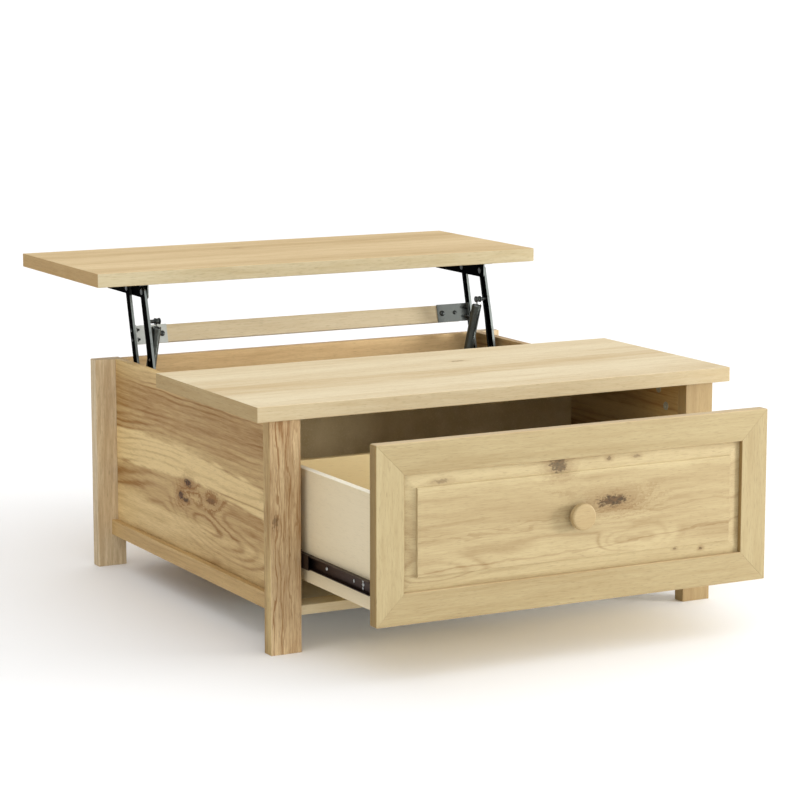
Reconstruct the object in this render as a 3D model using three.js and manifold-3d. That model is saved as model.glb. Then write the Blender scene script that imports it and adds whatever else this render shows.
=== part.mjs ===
// Lift top coffee table: a low oak case on four board legs, with a large raised-panel drawer
// in front and a storage compartment behind, whose half of the top rises on two parallelogram
// arm mechanisms. Millimetres, +Z up, +X to the right seen from the drawer side, +Y to the back.
// The model stands with the drawer pulled out and the lift top raised, resting on its stops.
import * as THREE from "three";
import { RoundedBoxGeometry } from "three/addons/geometries/RoundedBoxGeometry.js";
import { mergeVertices } from "three/addons/utils/BufferGeometryUtils.js";
import Module from "manifold-3d";

const wasm = await Module();
wasm.setup();

// ---------------------------------------------------------------- driving dimensions
const GAP = 0.3; // between pieces that touch
const EASE = 0.9; // rounding of the edges of the boards

const TABLE_WIDTH = 915;
const SLAB = 25.4; // thickness of both halves of the top
const FIXED_DEPTH = 412; // front half of the top, which stays put
const LIFT_DEPTH = 383; // rear half, which rises
const SEAM = 2; // between the two halves when the table is closed
const CASE_HEIGHT = 390.2; // floor to the underside of the closed top
const OVERHANG = 12.6; // top beyond the legs, front and back

const LEG_WIDTH = 55.5;
const LEG_THICK = 25.4;
const LEG_INSET = 27.6; // from the end of the top
const BOARD = 15.9; // case panels
const RAIL_THICK = 12.4;
const RAIL_HEIGHT = 28;
const CASE_BOTTOM = 59.4;
const REST_PAD = 0.5; // clearance of the case under both halves of the top

const STRETCHER_Z = 62.2;
const STRETCHER_DEPTH = 44.4;
const DUST_THICK = 3;
const DIVIDER_FRONT = 391.4;

const DRAWER_OPEN = 251.4; // how far the drawer is out
const FRONT_WIDTH = 737.7;
const FRONT_BOTTOM = 93.9;
const FRONT_TOP = 384.6;
const FRONT_THICK = 20;
const FRAME_WIDTH = 51; // of the stiles and rails around the raised panel
const RECESS = 8; // depth of the frame's inner edge
const BEVEL_WIDTH = 22;
const BEVEL_RISE = 4;
const FIELD_BELOW = 0.6; // raised field behind the face of the frame
const CORNER_RADIUS = 4;

const BOX_SIDE = 12;
const BOX_LENGTH = 350;
const BOX_BOTTOM = 116.4;
const BOX_TOP = 303.6;
const BACK_TOP = 298;
const BOX_FLOOR = 3.2;
const BOX_FLOOR_Z = 126;
const GROOVE_DEPTH = 5;

const KNOB_RADIUS = 22;
const KNOB_DISC = 12;
const KNOB_REACH = 20;

const RUNNER_SPACE = 12.9; // between the drawer box and the side panel
const RUNNER_Z = 153.5;
const CASE_RUNNER_HEIGHT = 28;
const DRAWER_RUNNER_HEIGHT = 22;
const RUNNER_SHEET = 1.2;
const CAGE_FRONT = -8; // ball cage, which follows the drawer at half its speed
const CAGE_LENGTH = 150;

const ARM_LENGTH = 214; // between pivots
const ARM_LEAN = THREE.MathUtils.degToRad(14.5); // of the raised arms, past upright to the back
const PIVOT_Z = 312.4;
const FRONT_PIVOT_Y = 646.5;
const REAR_PIVOT_Y = 718.7;
const PIVOT_BELOW_SLAB = 15.1;
const ARM_THICK = 4.6;
const ARM_SHEET = 1.8;
const WALL_IN = 352.5; // inner face of the upright walls that the arms hang on
const WALL_SHEET = 2.2;
const PIN_RADIUS = 3.8;
const HEAD_RADIUS = 6;
const HEAD_THICK = 2;

const SPOOL_ALONG = 157.5; // spring pin on the front arm, from its lower pivot
const SPOOL_ACROSS = -3;
const SPRING_X = 338;
const ANCHOR_Y = 742;
const ANCHOR_Z = 300;
const COIL_RADIUS = 9.5;

const BAR_ALONG = 124.6; // middle of the stabiliser bar, from the rear arm's lower pivot
const BAR_HEIGHT = 33;
const BAR_THICK = 16;
const BAR_PLATE_END = 287.7; // distance of the bar plates' inner ends from the middle

const OAK = { color: 0xd8bf8f, roughness: 0.6, metalness: 0 };
const OAK_DARK = { color: 0xb99663, roughness: 0.62, metalness: 0 };
const BOX_BOARD = { color: 0xdfd3b4, roughness: 0.6, metalness: 0 };
const GREY_BOARD = { color: 0xa79f90, roughness: 0.8, metalness: 0 };
const BLACK_STEEL = { color: 0x1c1d1d, roughness: 0.42, metalness: 0.7 };
const PLATE_STEEL = { color: 0x6c716f, roughness: 0.4, metalness: 0.8 };
const RUNNER_STEEL = { color: 0x3a2d2a, roughness: 0.45, metalness: 0.6 };
const SPRING_STEEL = { color: 0x2b2d2c, roughness: 0.45, metalness: 0.8 };
const ZINC = { color: 0xb9bcbb, roughness: 0.35, metalness: 0.9 };

// ---------------------------------------------------------------- derived places
const HALF = TABLE_WIDTH / 2;
const LEG_OUT = HALF - LEG_INSET;
const LEG_IN = LEG_OUT - LEG_WIDTH;
const LEG_FRONT = OVERHANG;
const TABLE_DEPTH = FIXED_DEPTH + SEAM + LIFT_DEPTH;
const LEG_BACK = TABLE_DEPTH - OVERHANG;
const CASE_TOP = CASE_HEIGHT - REST_PAD;
const PANEL_FRONT = LEG_FRONT + LEG_THICK + GAP;
const PANEL_BACK = LEG_BACK - LEG_THICK - GAP;
const FACE_Y = LEG_FRONT - DRAWER_OPEN; // face of the open drawer
const BOX_FRONT = FACE_Y + FRONT_THICK + GAP;
const BOX_OUT = LEG_IN - RUNNER_SPACE;

const ARM_ALONG = [Math.sin(ARM_LEAN), Math.cos(ARM_LEAN)]; // (y, z) up the raised arms
const ARM_ACROSS = [Math.cos(ARM_LEAN), -Math.sin(ARM_LEAN)]; // (y, z) towards their rear edge
const CLOSED_LEAN = Math.asin((CASE_HEIGHT - PIVOT_BELOW_SLAB - PIVOT_Z) / ARM_LENGTH);
const LIFT_BACKWARD = ARM_LENGTH * (Math.sin(ARM_LEAN) + Math.cos(CLOSED_LEAN));
const LIFT_FRONT = FIXED_DEPTH + SEAM + LIFT_BACKWARD;
const LIFT_UNDERSIDE = PIVOT_Z + ARM_LENGTH * ARM_ALONG[1] + PIVOT_BELOW_SLAB;
const ORIGIN_Y = (FACE_Y - KNOB_REACH + LIFT_FRONT + LIFT_DEPTH) / 2;

const WALL_OUT = WALL_IN + WALL_SHEET;
const ARM_IN = WALL_OUT + GAP; // both arms run outside the walls

const table = new THREE.Group();
table.position.y = -ORIGIN_Y;

// ---------------------------------------------------------------- helpers
function add(name, geometry, look) {
  const mesh = new THREE.Mesh(geometry, new THREE.MeshStandardMaterial(look));
  mesh.name = name;
  table.add(mesh);
  return mesh;
}

function box(x, y, z) {
  const geometry = new THREE.BoxGeometry(x[1] - x[0], y[1] - y[0], z[1] - z[0]);
  return geometry.translate((x[0] + x[1]) / 2, (y[0] + y[1]) / 2, (z[0] + z[1]) / 2);
}

// A board with eased edges.
function board(x, y, z, ease = EASE) {
  const geometry = new RoundedBoxGeometry(x[1] - x[0], y[1] - y[0], z[1] - z[0], 1, ease);
  return geometry.translate((x[0] + x[1]) / 2, (y[0] + y[1]) / 2, (z[0] + z[1]) / 2);
}

// The span from a to b out from the middle, on the left (side -1) or the right (side 1).
function mirrored(side, a, b) {
  return side < 0 ? [-b, -a] : [a, b];
}

// A (y, z) outline made as thick as the span x.
function plate(shape, x) {
  const geometry = new THREE.ExtrudeGeometry(shape, {
    depth: x[1] - x[0],
    bevelEnabled: false,
    curveSegments: 6,
  });
  const basis = new THREE.Matrix4().makeBasis(
    new THREE.Vector3(0, 1, 0),
    new THREE.Vector3(0, 0, 1),
    new THREE.Vector3(1, 0, 0),
  );
  return geometry.applyMatrix4(basis).translate(x[0], 0, 0);
}

// An (x, z) section drawn out along the span y.
function strip(shape, y) {
  const geometry = new THREE.ExtrudeGeometry(shape, {
    depth: y[1] - y[0],
    bevelEnabled: false,
    curveSegments: 6,
  });
  return geometry.rotateX(Math.PI / 2).translate(0, y[1], 0);
}

function polygon(points) {
  return new THREE.Shape(points.map(([a, b]) => new THREE.Vector2(a, b)));
}

// A cylinder along X over the span x, about the point (y, z).
function rod(radius, x, y, z, sides = 20) {
  const geometry = new THREE.CylinderGeometry(radius, radius, x[1] - x[0], sides);
  return geometry.rotateZ(Math.PI / 2).translate((x[0] + x[1]) / 2, y, z);
}

// A turned piece along X: profile is a list of [x, radius] from one end to the other.
function turned(profile, y, z, sides = 20) {
  const first = profile[0];
  const last = profile[profile.length - 1];
  const closed = [[first[0], 0], ...profile, [last[0], 0]];
  const points = closed.map(([x, radius]) => new THREE.Vector2(radius, x));
  if (last[0] < first[0]) points.reverse();
  return new THREE.LatheGeometry(points, sides).rotateZ(-Math.PI / 2).translate(0, y, z);
}

function solid(geometry) {
  const bare = geometry.clone();
  bare.deleteAttribute("normal");
  bare.deleteAttribute("uv");
  const merged = mergeVertices(bare, 1e-3);
  return new wasm.Manifold(
    new wasm.Mesh({
      numProp: 3,
      vertProperties: merged.getAttribute("position").array,
      triVerts: new Uint32Array(merged.index.array),
    }),
  );
}

function geometryOf(manifold) {
  const mesh = manifold.getMesh();
  const geometry = new THREE.BufferGeometry();
  geometry.setAttribute("position", new THREE.BufferAttribute(mesh.vertProperties, 3));
  geometry.setIndex(new THREE.BufferAttribute(mesh.triVerts, 1));
  return geometry;
}

// The first geometry joined with those in join and cut by those in cut.
function combined(first, join, cut) {
  let result = solid(first);
  for (const other of join) result = result.add(solid(other));
  for (const other of cut) result = result.subtract(solid(other));
  return geometryOf(result);
}

// A point on an arm whose lower pivot is at y: along it from the pivot, and across to the rear.
function onArm(y, along, across = 0) {
  return [
    y + along * ARM_ALONG[0] + across * ARM_ACROSS[0],
    PIVOT_Z + along * ARM_ALONG[1] + across * ARM_ACROSS[1],
  ];
}

const SIDES = [
  ["left", -1],
  ["right", 1],
];

// ---------------------------------------------------------------- case
function makeCase() {
  add(
    "fixed_top",
    board([-HALF, HALF], [0, FIXED_DEPTH], [CASE_HEIGHT, CASE_HEIGHT + SLAB], 1.4),
    OAK,
  );
  for (const [name, side] of SIDES) {
    const legX = mirrored(side, LEG_IN, LEG_OUT);
    const panelX = mirrored(side, LEG_IN, LEG_IN + BOARD);
    const railX = mirrored(side, LEG_IN + BOARD + GAP, LEG_IN + BOARD + GAP + RAIL_THICK);
    const railZ = [CASE_BOTTOM, CASE_BOTTOM + RAIL_HEIGHT];
    const span = [PANEL_FRONT, PANEL_BACK];
    add(`leg_front_${name}`, board(legX, [LEG_FRONT, LEG_FRONT + LEG_THICK], [0, CASE_TOP]), OAK);
    add(`leg_rear_${name}`, board(legX, [LEG_BACK - LEG_THICK, LEG_BACK], [0, CASE_TOP]), OAK);
    add(`side_panel_${name}`, board(panelX, span, [CASE_BOTTOM, CASE_TOP]), OAK_DARK);
    add(`side_rail_${name}`, board(railX, span, railZ), OAK);
  }
  const inside = [-LEG_IN + GAP, LEG_IN - GAP];
  const floorZ = [STRETCHER_Z, STRETCHER_Z + BOARD];
  const stretcherY = [LEG_FRONT + 2, LEG_FRONT + 2 + STRETCHER_DEPTH];
  const dividerY = [DIVIDER_FRONT, DIVIDER_FRONT + BOARD];
  const backY = [PANEL_BACK + GAP, PANEL_BACK + GAP + BOARD];
  add("front_stretcher", board(inside, stretcherY, floorZ), OAK);
  add("divider_panel", board(inside, dividerY, [floorZ[1] + GAP, CASE_TOP]), GREY_BOARD);
  add("storage_floor", board(inside, [DIVIDER_FRONT, PANEL_BACK], floorZ), OAK_DARK);
  add("back_panel", board(inside, backY, [STRETCHER_Z, CASE_TOP]), OAK_DARK);
  add(
    "dust_panel",
    box(
      inside,
      [stretcherY[1] + GAP, DIVIDER_FRONT - GAP],
      [STRETCHER_Z + DUST_THICK, STRETCHER_Z + 2 * DUST_THICK],
    ),
    GREY_BOARD,
  );
}

// ---------------------------------------------------------------- drawer front
// One side of the mitred frame: section is a list of [inset from the outer edge, depth behind
// the face], drawn out along the front's edge, with both ends cut at 45 degrees.
function mitred(section, width, height, turn) {
  const half = turn % 2 ? height / 2 : width / 2;
  const reach = turn % 2 ? width / 2 : height / 2;
  const count = section.length;
  const position = [];
  for (const end of [-1, 1])
    for (const [inset, depth] of section)
      position.push(end * (half - inset - GAP / 2), depth, -(reach - inset));
  const index = [];
  for (let i = 0; i < count; i++) {
    const next = (i + 1) % count;
    index.push(next, i, count + i, next, count + i, count + next);
  }
  const flat = section.map(([inset, depth]) => new THREE.Vector2(inset, depth));
  for (const [a, b, c] of THREE.ShapeUtils.triangulateShape(flat, [])) {
    index.push(a, b, c);
    index.push(count + a, count + c, count + b);
  }
  const geometry = new THREE.BufferGeometry();
  geometry.setAttribute("position", new THREE.Float32BufferAttribute(position, 3));
  geometry.setIndex(index);
  return geometry.rotateY((turn * Math.PI) / 2);
}

// A slab as a stack of rectangles, each [inset, depth], closed at both ends.
function ringed(width, height, rings) {
  const position = [];
  for (const [inset, depth] of rings)
    for (const [sx, sz] of [
      [-1, -1],
      [1, -1],
      [1, 1],
      [-1, 1],
    ])
      position.push(sx * (width / 2 - inset), depth, sz * (height / 2 - inset));
  const index = [0, 2, 1, 0, 3, 2];
  for (let ring = 0; ring < rings.length - 1; ring++)
    for (let i = 0; i < 4; i++) {
      const a = ring * 4 + i;
      const b = ring * 4 + ((i + 1) % 4);
      index.push(a, b, b + 4, a, b + 4, a + 4);
    }
  const top = (rings.length - 1) * 4;
  index.push(top, top + 1, top + 2, top, top + 2, top + 3);
  const geometry = new THREE.BufferGeometry();
  geometry.setAttribute("position", new THREE.Float32BufferAttribute(position, 3));
  geometry.setIndex(index);
  return geometry;
}

function roundedRectangle(width, height, radius) {
  const x = width / 2;
  const z = height / 2;
  const shape = new THREE.Shape();
  shape.moveTo(-x + radius, -z);
  shape.lineTo(x - radius, -z);
  shape.absarc(x - radius, -z + radius, radius, -Math.PI / 2, 0);
  shape.lineTo(x, z - radius);
  shape.absarc(x - radius, z - radius, radius, 0, Math.PI / 2);
  shape.lineTo(-x + radius, z);
  shape.absarc(-x + radius, z - radius, radius, Math.PI / 2, Math.PI);
  shape.lineTo(-x, -z + radius);
  shape.absarc(-x + radius, -z + radius, radius, Math.PI, 1.5 * Math.PI);
  return shape;
}

function makeDrawerFront() {
  const height = FRONT_TOP - FRONT_BOTTOM;
  const middle = (FRONT_TOP + FRONT_BOTTOM) / 2;
  // Face edge rounded over, then the inner edge down to a rebate that holds the panel.
  const section = [
    [0, 2.6],
    [0.35, 1.3],
    [1.3, 0.35],
    [2.6, 0],
    [FRAME_WIDTH - 0.8, 0],
    [FRAME_WIDTH, 0.8],
    [FRAME_WIDTH, RECESS],
    [FRAME_WIDTH - 10, RECESS],
    [FRAME_WIDTH - 10, RECESS + 7],
    [FRAME_WIDTH, RECESS + 7],
    [FRAME_WIDTH, FRONT_THICK],
    [0.6, FRONT_THICK],
    [0, FRONT_THICK - 0.6],
  ];
  const outline = solid(
    strip(roundedRectangle(FRONT_WIDTH, height, CORNER_RADIUS), [-1, FRONT_THICK + 1]),
  );
  const names = ["rail_bottom", "stile_left", "rail_top", "stile_right"];
  names.forEach((name, turn) => {
    const member = solid(mitred(section, FRONT_WIDTH, height, turn)).intersect(outline);
    const mesh = add(`drawer_${name}`, geometryOf(member), OAK);
    mesh.position.set(0, FACE_Y, middle);
  });
  // The panel's edge lies in the rebate; its face slopes up to a step around the raised field.
  const edge = FRAME_WIDTH - 10 + GAP;
  const visible = FRAME_WIDTH + 0.5;
  const slopeTop = RECESS + GAP - BEVEL_RISE;
  const panel = ringed(FRONT_WIDTH, height, [
    [edge, RECESS + 7 - GAP],
    [edge, RECESS + GAP],
    [visible, RECESS + GAP],
    [visible + BEVEL_WIDTH, slopeTop],
    [visible + BEVEL_WIDTH + 0.5, FIELD_BELOW + 0.7],
    [visible + BEVEL_WIDTH + 1.2, FIELD_BELOW],
  ]);
  const bore = new THREE.CylinderGeometry(2.6, 2.6, 40, 16);
  const mesh = add("drawer_raised_panel", combined(panel, [], [bore]), OAK);
  mesh.position.set(0, FACE_Y, middle);

  // Flat round knob on a short stem, with a blind hole for its screw.
  const disc = KNOB_REACH - KNOB_DISC;
  const profile = [
    [0, -FIELD_BELOW + GAP],
    [9, -FIELD_BELOW + GAP],
    [7.4, 2.5],
    [7.4, disc - 2],
    [10, disc],
    [KNOB_RADIUS - 2.4, disc],
    [KNOB_RADIUS - 0.7, disc + 0.8],
    [KNOB_RADIUS, disc + 2.6],
    [KNOB_RADIUS, KNOB_REACH - 2.8],
    [KNOB_RADIUS - 0.8, KNOB_REACH - 0.9],
    [KNOB_RADIUS - 2.8, KNOB_REACH],
    [0, KNOB_REACH],
  ];
  const points = profile.map(([radius, out]) => new THREE.Vector2(radius, out));
  const knobBody = new THREE.LatheGeometry(points, 40);
  const hole = new THREE.CylinderGeometry(2.6, 2.6, 26, 16).translate(0, -0.5, 0);
  const knob = combined(knobBody, [], [hole]).rotateX(Math.PI);
  add("knob", knob, OAK).position.set(0, FACE_Y, middle);

  // Pan-head screw from inside the drawer through the panel into the knob.
  const screwStart = RECESS + 7;
  const screw = new THREE.LatheGeometry(
    [
      [0, -11],
      [2, -11],
      [2.2, screwStart],
      [4.6, screwStart],
      [4.2, screwStart + 2.2],
      [2.4, screwStart + 3],
      [0, screwStart + 3],
    ].map(([radius, depth]) => new THREE.Vector2(radius, depth)),
    20,
  );
  add("knob_screw", screw, ZINC).position.set(0, FACE_Y, middle);
}

// ---------------------------------------------------------------- drawer box
function makeDrawerBox() {
  const boxBack = BOX_FRONT + BOX_LENGTH;
  const grooveZ = [BOX_FLOOR_Z - GAP, BOX_FLOOR_Z + BOX_FLOOR + GAP];
  for (const [name, side] of SIDES) {
    const out = side * BOX_OUT;
    const inn = side * (BOX_OUT - BOX_SIDE);
    const groove = inn + side * GROOVE_DEPTH;
    const section = polygon([
      [inn, BOX_BOTTOM],
      [out, BOX_BOTTOM],
      [out, BOX_TOP - 1],
      [out - side, BOX_TOP],
      [inn + side, BOX_TOP],
      [inn, BOX_TOP - 1],
      [inn, grooveZ[1]],
      [groove, grooveZ[1]],
      [groove, grooveZ[0]],
      [inn, grooveZ[0]],
    ]);
    add(`drawer_side_${name}`, strip(section, [BOX_FRONT, boxBack]), BOX_BOARD);
  }
  const between = BOX_OUT - BOX_SIDE - GAP;
  add(
    "drawer_back",
    board(
      [-between, between],
      [boxBack - BOX_SIDE, boxBack],
      [BOX_FLOOR_Z + BOX_FLOOR + GAP, BACK_TOP],
    ),
    BOX_BOARD,
  );
  const floorHalf = BOX_OUT - BOX_SIDE + GROOVE_DEPTH - 0.6;
  add(
    "drawer_bottom",
    box([-floorHalf, floorHalf], [BOX_FRONT, boxBack - 1], [BOX_FLOOR_Z, BOX_FLOOR_Z + BOX_FLOOR]),
    BOX_BOARD,
  );
}

// ---------------------------------------------------------------- ball-bearing runners
// A C section, with its web at x = web and its flanges reaching to x = lip.
function channel(web, lip, height, sheet) {
  const into = Math.sign(lip - web) * sheet;
  const low = RUNNER_Z - height / 2;
  const high = RUNNER_Z + height / 2;
  return polygon([
    [web, low],
    [lip, low],
    [lip, low + sheet],
    [web + into, low + sheet],
    [web + into, high - sheet],
    [lip, high - sheet],
    [lip, high],
    [web, high],
  ]);
}

function makeRunners() {
  const start = LEG_FRONT + FRONT_THICK + 1; // just behind the closed drawer front
  const caseWeb = LEG_IN - GAP;
  const caseLip = BOX_OUT + 1.6;
  const drawerWeb = BOX_OUT + GAP;
  const drawerLip = caseWeb - 3.5;
  const cageHeight = (CASE_RUNNER_HEIGHT + DRAWER_RUNNER_HEIGHT - RUNNER_SHEET * 2) / 2 + 0.8;
  for (const [name, side] of SIDES) {
    add(
      `slide_case_rail_${name}`,
      strip(
        channel(side * caseWeb, side * caseLip, CASE_RUNNER_HEIGHT, RUNNER_SHEET),
        [start, start + BOX_LENGTH],
      ),
      RUNNER_STEEL,
    );
    add(
      `slide_drawer_rail_${name}`,
      strip(
        channel(side * drawerWeb, side * drawerLip, DRAWER_RUNNER_HEIGHT, RUNNER_SHEET),
        [BOX_FRONT, BOX_FRONT + BOX_LENGTH],
      ),
      RUNNER_STEEL,
    );
    add(
      `slide_ball_cage_${name}`,
      strip(
        channel(side * (caseWeb - RUNNER_SHEET - 0.6), side * (drawerWeb + 3), cageHeight, 0.8),
        [CAGE_FRONT, CAGE_FRONT + CAGE_LENGTH],
      ),
      ZINC,
    );
  }
}

// ---------------------------------------------------------------- lift mechanism
// The outline of a strip between two round ends, each [y, z, radius].
function link([ay, az, ar], [by, bz, br]) {
  const heading = Math.atan2(bz - az, by - ay);
  const touch = Math.acos((ar - br) / Math.hypot(by - ay, bz - az));
  const shape = new THREE.Shape();
  shape.absarc(ay, az, ar, heading + touch, heading - touch + 2 * Math.PI, false);
  shape.absarc(by, bz, br, heading - touch, heading + touch, false);
  return shape;
}

// A row of such strips from circle to circle, as one piece over the span x.
function linked(circles, shrink, x) {
  const smaller = circles.map(([y, z, radius]) => [y, z, radius - shrink]);
  const parts = smaller.slice(1).map((circle, i) => plate(link(smaller[i], circle), x));
  return combined(parts[0], parts.slice(1), []);
}

// A stamped arm: a web on its outer side, and a flange all round it turned inwards.
function arm(circles, side, pivots) {
  const outer = ARM_IN + ARM_THICK;
  const body = linked(circles, 0, mirrored(side, ARM_IN, outer));
  const pocket = linked(circles, ARM_SHEET, mirrored(side, ARM_IN - 1, outer - ARM_SHEET));
  const bosses = pivots.map(([y, z, radius]) =>
    rod(radius + 2, mirrored(side, ARM_IN, outer - 0.5), y, z),
  );
  const holes = pivots.map(([y, z, radius]) =>
    rod(radius, mirrored(side, ARM_IN - 5, outer + 5), y, z),
  );
  return combined(combined(body, [], [pocket]), bosses, holes);
}

function makeMechanism(name, side) {
  const holeRadius = PIN_RADIUS + GAP;
  const rearTop = onArm(REAR_PIVOT_Y, ARM_LENGTH);
  const frontTop = onArm(FRONT_PIVOT_Y, ARM_LENGTH);
  const rearLow = [REAR_PIVOT_Y, PIVOT_Z];
  const frontLow = [FRONT_PIVOT_Y, PIVOT_Z];
  const pinHole = ([y, z]) => [y, z, holeRadius];

  // Base: a channel screwed to the side panel, its inner wall carrying both lower pivots
  // and the stud that anchors the spring.
  const base = [625, 752];
  const baseZ = [270, 345];
  const wallTop = 330;
  const baseOut = LEG_IN - GAP;
  const baseBody = strip(
    polygon(
      [
        [WALL_IN, baseZ[0]],
        [baseOut, baseZ[0]],
        [baseOut, baseZ[1]],
        [baseOut - WALL_SHEET, baseZ[1]],
        [baseOut - WALL_SHEET, baseZ[0] + WALL_SHEET],
        [WALL_OUT, baseZ[0] + WALL_SHEET],
        [WALL_OUT, wallTop],
        [WALL_IN, wallTop],
      ].map(([x, z]) => [side * x, z]),
    ),
    base,
  );
  const stud = turned(
    [
      [side * (SPRING_X - 7), 5.5],
      [side * (SPRING_X - 5), 5.5],
      [side * (SPRING_X - 5), 3],
      [side * (SPRING_X + 5), 3],
      [side * (SPRING_X + 5), 5],
      [side * (WALL_IN + 1), 5],
    ],
    ANCHOR_Y,
    ANCHOR_Z,
  );
  const throughWall = mirrored(side, WALL_IN - 3, WALL_OUT + 3);
  const baseHoles = [rearLow, frontLow].map(([y, z]) => rod(holeRadius, throughWall, y, z));
  add(`lift_base_${name}`, combined(baseBody, [stud], baseHoles), BLACK_STEEL);

  // Arms.
  const rearCircles = [
    [...rearLow, 8.6],
    [...rearTop, 8.4],
  ];
  const frontCircles = [
    [...frontLow, 11.8],
    [...onArm(FRONT_PIVOT_Y, 76, 0), 11.8],
    [...onArm(FRONT_PIVOT_Y, 122, -1.5), 11],
    [...frontTop, 10],
  ];
  const rearPivots = [pinHole(rearLow), pinHole(rearTop)];
  const frontPivots = [pinHole(frontLow), pinHole(frontTop)];
  add(`rear_arm_${name}`, arm(rearCircles, side, rearPivots), BLACK_STEEL);
  add(`front_arm_${name}`, arm(frontCircles, side, frontPivots), BLACK_STEEL);

  // Angle bracket under the lift top.
  const bracketY = [LIFT_FRONT + 14, LIFT_FRONT + 220];
  const bracketZ = [LIFT_UNDERSIDE - 28, LIFT_UNDERSIDE - GAP];
  const cheek = new THREE.Shape();
  cheek.moveTo(bracketY[0] + 6, bracketZ[0]);
  cheek.lineTo(bracketY[1] - 14, bracketZ[0]);
  cheek.lineTo(bracketY[1], bracketZ[1] - 6);
  cheek.lineTo(bracketY[1], bracketZ[1]);
  cheek.lineTo(bracketY[0], bracketZ[1]);
  cheek.lineTo(bracketY[0], bracketZ[0] + 6);
  cheek.absarc(bracketY[0] + 6, bracketZ[0] + 6, 6, Math.PI, 1.5 * Math.PI);
  const shelf = box(
    mirrored(side, WALL_IN, WALL_OUT + 16),
    bracketY,
    [bracketZ[1] - WALL_SHEET, bracketZ[1]],
  );
  const bracketHoles = [rearTop, frontTop].map(([y, z]) => rod(holeRadius, throughWall, y, z));
  add(
    `top_bracket_${name}`,
    combined(plate(cheek, mirrored(side, WALL_IN, WALL_OUT)), [shelf], bracketHoles),
    BLACK_STEEL,
  );

  // Rivets: a shank with a head on the inside of the wall and one on the outside of the arm.
  const inHead = WALL_IN - GAP - HEAD_THICK;
  const outHead = ARM_IN + ARM_THICK + GAP;
  const rivet = [
    [inHead, HEAD_RADIUS - 1.5],
    [inHead + 0.8, HEAD_RADIUS],
    [inHead + HEAD_THICK, HEAD_RADIUS],
    [inHead + HEAD_THICK, PIN_RADIUS],
    [outHead, PIN_RADIUS],
    [outHead, HEAD_RADIUS],
    [outHead + HEAD_THICK - 0.8, HEAD_RADIUS],
    [outHead + HEAD_THICK, HEAD_RADIUS - 1.5],
  ].map(([x, radius]) => [side * x, radius]);
  for (const [place, [y, z]] of Object.entries({
    rear_low: rearLow,
    rear_top: rearTop,
    front_low: frontLow,
    front_top: frontTop,
  }))
    add(`rivet_${place}_${name}`, turned(rivet, y, z, 16), BLACK_STEEL);

  // Spring pin on the front arm: a post with two collars that keep the hook in place.
  const spool = onArm(FRONT_PIVOT_Y, SPOOL_ALONG, SPOOL_ACROSS);
  add(
    `spring_spool_${name}`,
    turned(
      [
        [side * (SPRING_X - 6), 4.8],
        [side * (SPRING_X - 5), 6],
        [side * (SPRING_X - 3), 6],
        [side * (SPRING_X - 3), 3],
        [side * (SPRING_X + 3), 3],
        [side * (SPRING_X + 3), 6],
        [side * (SPRING_X + 5), 6],
        [side * (SPRING_X + 5), 3.6],
        [side * (ARM_IN + ARM_THICK - ARM_SHEET - GAP), 3.6],
      ],
      ...spool,
    ),
    BLACK_STEEL,
  );

  // Extension spring from the stud to the spool: the coil, and the hook that meets the spool.
  const run = new THREE.Vector2(spool[0] - ANCHOR_Y, spool[1] - ANCHOR_Z);
  const tilt = Math.atan2(-run.x, run.y);
  const along = (radius, from, to) =>
    new THREE.CylinderGeometry(radius, radius, to - from, 16)
      .rotateX(Math.PI / 2)
      .translate(0, 0, (from + to) / 2)
      .rotateX(tilt)
      .translate(side * SPRING_X, ANCHOR_Y, ANCHOR_Z);
  const coilEnd = run.length() - 14;
  add(`spring_coil_${name}`, along(COIL_RADIUS, 14, coilEnd), SPRING_STEEL);
  add(`spring_hook_${name}`, along(1.6, coilEnd + 1, run.length() - 7.5), SPRING_STEEL);

  // Angle plate that ties the stabiliser bar to the rear arm.
  const plateHalf = BAR_HEIGHT / 2 + 1;
  const corner = (along, across) => onArm(REAR_PIVOT_Y, along, across);
  const flange = plate(
    polygon([
      corner(BAR_ALONG - plateHalf, -6),
      corner(BAR_ALONG - plateHalf, 6),
      corner(BAR_ALONG + plateHalf, 6),
      corner(BAR_ALONG + plateHalf, -6),
    ]),
    mirrored(side, WALL_IN, WALL_OUT),
  );
  const face = plate(
    polygon([
      corner(BAR_ALONG - plateHalf, 4),
      corner(BAR_ALONG - plateHalf, 6),
      corner(BAR_ALONG + plateHalf, 6),
      corner(BAR_ALONG + plateHalf, 4),
    ]),
    mirrored(side, BAR_PLATE_END, WALL_OUT - 1),
  );
  add(`bar_plate_${name}`, combined(flange, [face], []), PLATE_STEEL);
}

function makeStabiliserBar() {
  const half = WALL_IN - 10;
  const bar = new RoundedBoxGeometry(2 * half, BAR_THICK, BAR_HEIGHT, 1, EASE);
  const mesh = add("stabiliser_bar", bar, OAK);
  const [y, z] = onArm(REAR_PIVOT_Y, BAR_ALONG, 6 + GAP + BAR_THICK / 2);
  mesh.position.set(0, y, z);
  mesh.rotation.x = -ARM_LEAN;
}

function makeLiftTop() {
  add(
    "lift_top",
    board(
      [-HALF, HALF],
      [LIFT_FRONT, LIFT_FRONT + LIFT_DEPTH],
      [LIFT_UNDERSIDE, LIFT_UNDERSIDE + SLAB],
      1.4,
    ),
    OAK,
  );
}

makeCase();
makeDrawerFront();
makeDrawerBox();
makeRunners();
for (const [name, side] of SIDES) makeMechanism(name, side);
makeStabiliserBar();
makeLiftTop();

export default table;
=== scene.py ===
"""Lift top coffee table: materials, small fittings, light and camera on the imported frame."""
import math

import bpy
from mathutils import Matrix, Vector


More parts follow.
